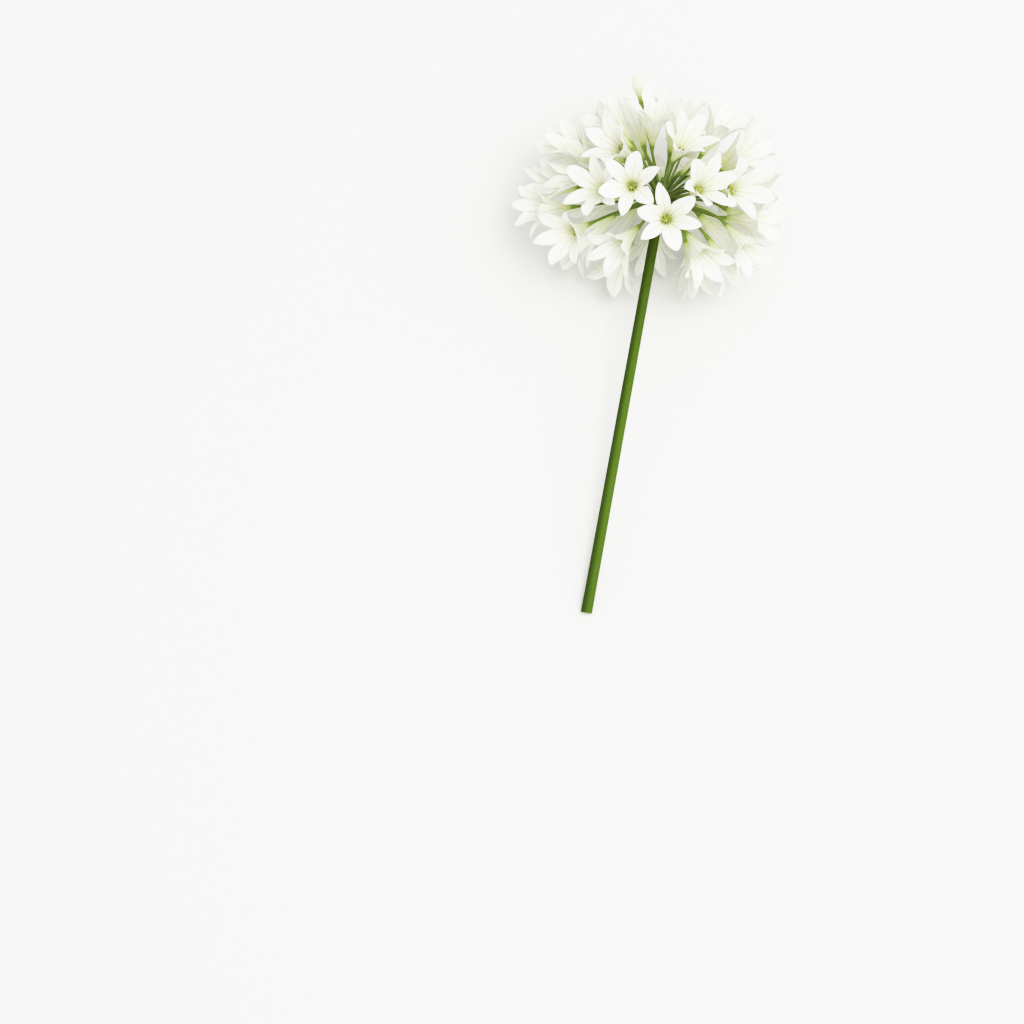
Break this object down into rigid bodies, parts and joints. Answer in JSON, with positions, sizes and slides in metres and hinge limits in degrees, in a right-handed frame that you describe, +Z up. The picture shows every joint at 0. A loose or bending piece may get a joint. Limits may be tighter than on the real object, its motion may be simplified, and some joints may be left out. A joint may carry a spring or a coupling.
{
  "type": "agapanthus flower head",
  "caption": "Rounded umbel of open white trumpet florets and a few closed buds on thin green stalks, at the top of a long straight cut stem that lies on its side.",
  "frame": {"origin": "centre of the bounding box at the floor that the flower head lies on", "axes": "+Y along the stem towards the flowers, level with the floor; +Z up; +X to the right of a viewer who looks down with the flowers at the top"},
  "size_m": [0.1973, 0.3754, 0.1645],
  "materials": {
    "tepal_white": "matte",
    "bud_pale": "satin",
    "stalk_green": "satin"
  },
  "bodies": {
    "root": {"bud_1": "bud_pale", "bud_2": "bud_pale", "bud_3": "bud_pale", "bud_4": "bud_pale", "floret_01": "tepal_white", "floret_02": "tepal_white", "floret_03": "tepal_white", "floret_04": "tepal_white", "floret_05": "tepal_white", "floret_06": "tepal_white", "floret_07": "tepal_white", "floret_08": "tepal_white", "floret_09": "tepal_white", "floret_10": "tepal_white", "floret_11": "tepal_white", "floret_12": "tepal_white", "floret_13": "tepal_white", "floret_14": "tepal_white", "floret_15": "tepal_white", "floret_16": "tepal_white", "floret_17": "tepal_white", "floret_18": "tepal_white", "floret_19": "tepal_white", "floret_20": "tepal_white", "floret_21": "tepal_white", "floret_22": "tepal_white", "floret_23": "tepal_white", "floret_24": "tepal_white", "floret_25": "tepal_white", "floret_26": "tepal_white", "floret_27": "tepal_white", "floret_28": "tepal_white", "floret_29": "tepal_white", "floret_30": "tepal_white", "floret_31": "tepal_white", "floret_32": "tepal_white", "floret_33": "tepal_white", "floret_34": "tepal_white", "floret_35": "tepal_white", "floret_36": "tepal_white", "floret_37": "tepal_white", "floret_38": "tepal_white", "floret_39": "tepal_white", "floret_40": "tepal_white", "floret_41": "tepal_white", "floret_42": "tepal_white", "floret_43": "tepal_white", "floret_44": "tepal_white", "floret_45": "tepal_white", "floret_46": "tepal_white", "floret_47": "tepal_white", "floret_48": "tepal_white", "floret_49": "tepal_white", "floret_50": "tepal_white", "scape_and_pedicels": "stalk_green"}
  },
  "joints": []
}
